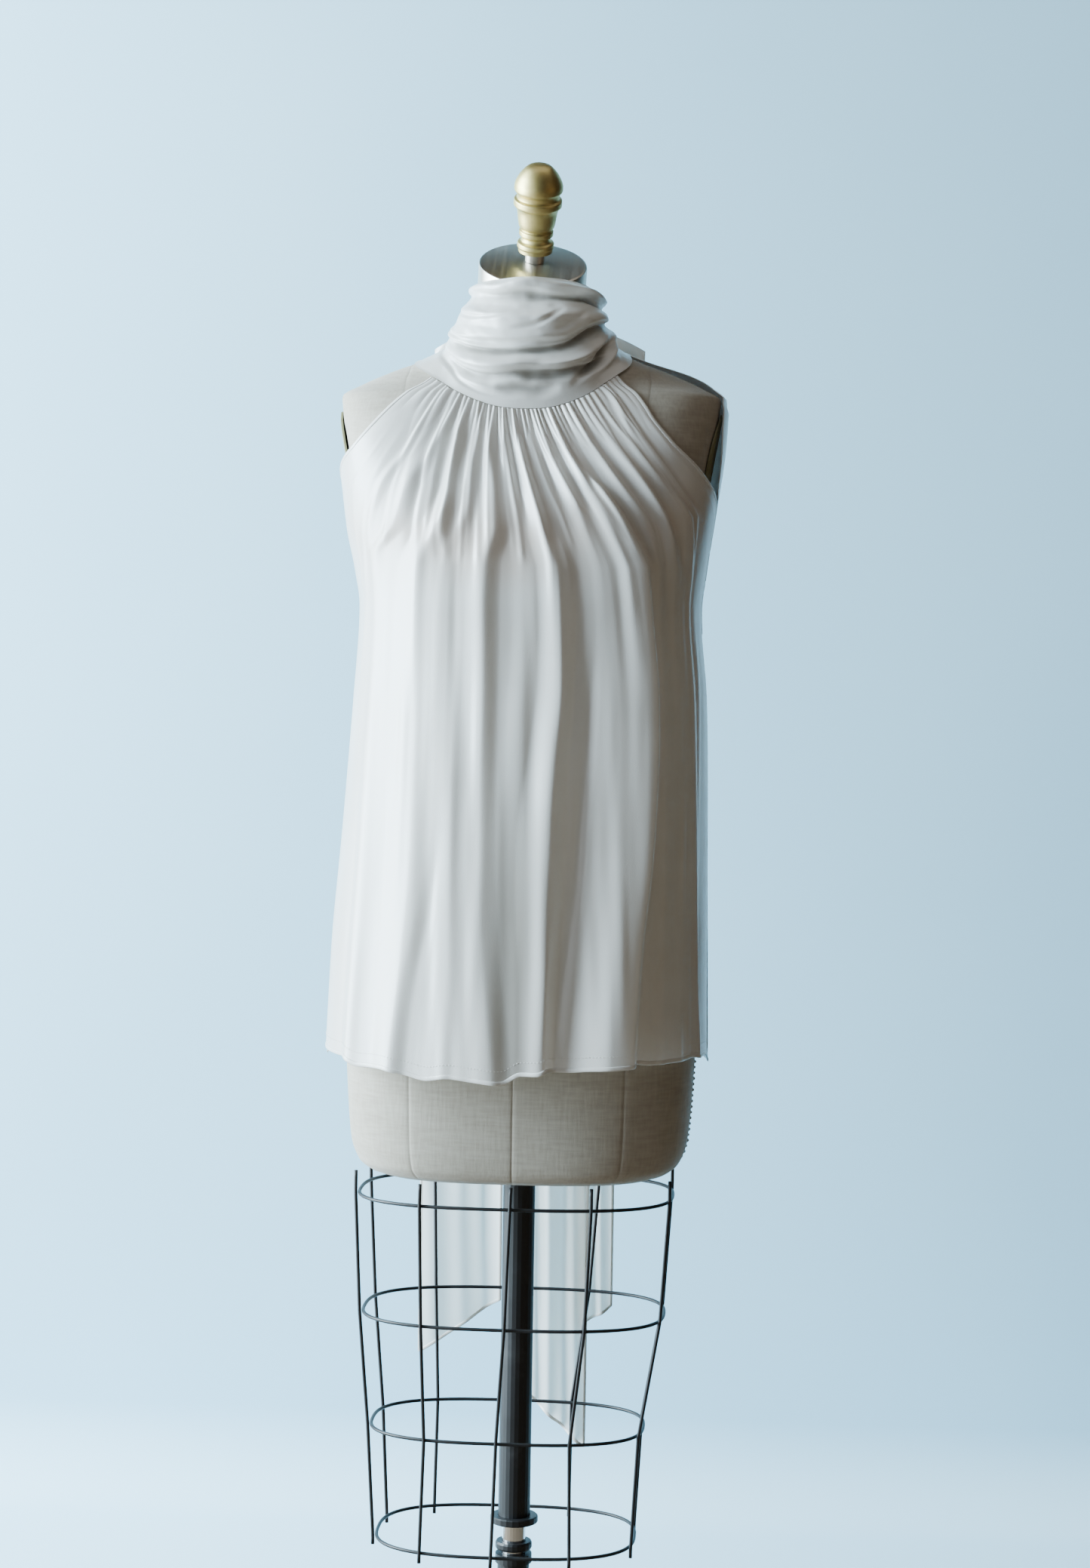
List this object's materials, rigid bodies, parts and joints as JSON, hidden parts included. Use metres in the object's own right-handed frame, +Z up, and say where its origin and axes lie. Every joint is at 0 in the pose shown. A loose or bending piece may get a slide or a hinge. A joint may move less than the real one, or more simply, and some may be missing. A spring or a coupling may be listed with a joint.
{
  "type": "silk blouse on a dress form",
  "caption": "Sleeveless silk blouse with gathered neckline and tied scarf collar, on a limbless dress form with wire cage and pole stand.",
  "frame": {"origin": "centre of the stand's base on the floor, on the pole's axis", "axes": "+Z up along the pole, -Y the way the blouse faces, +X to the viewer's right when looking at its front"},
  "size_m": [0.43, 0.43, 1.6213],
  "materials": {
    "silk": "satin",
    "linen": "matte",
    "plate": "matte",
    "steel": "satin",
    "brass": "satin",
    "black": "satin",
    "chrome": "polished",
    "iron": "matte"
  },
  "bodies": {
    "stand": {"base": "iron", "lower_column": "black", "inner_tube": "chrome", "stop_ring": "black"},
    "sleeve": {"pole_sleeve": "black", "pole_collar": "black"},
    "form": {"torso": "linen", "arm_plate_left": "plate", "arm_plate_right": "plate", "neck_cap": "steel", "finial_stub": "steel", "finial": "brass", "cage_ring_1": "black", "cage_ring_2": "black", "cage_ring_3": "black", "cage_ring_4": "black", "cage_wire_front": "black", "cage_wire_front_left": "black", "cage_wire_front_right": "black", "cage_wire_right_front": "black", "cage_wire_right_rear": "black", "cage_wire_rear_right": "black", "cage_wire_rear_left": "black", "cage_wire_left_rear": "black", "cage_wire_left_front": "black", "front_panel": "silk", "back_panel": "silk", "neck_scarf": "silk", "bow_knot": "silk", "bow_loop_left": "silk", "bow_loop_right": "silk", "tie_tail_left": "silk", "tie_tail_right": "silk", "tie_tail_fold": "silk"}
  },
  "joints": [
    {"name": "height", "type": "slide", "parent": "stand", "child": "sleeve", "axis": [0, 0, 1], "range_m": [-0.018, 0.15]},
    {"name": "swivel", "type": "hinge", "parent": "sleeve", "child": "form", "pos_m": [0, 0, 0.632], "axis": [0, 0, 1], "continuous": true}
  ]
}
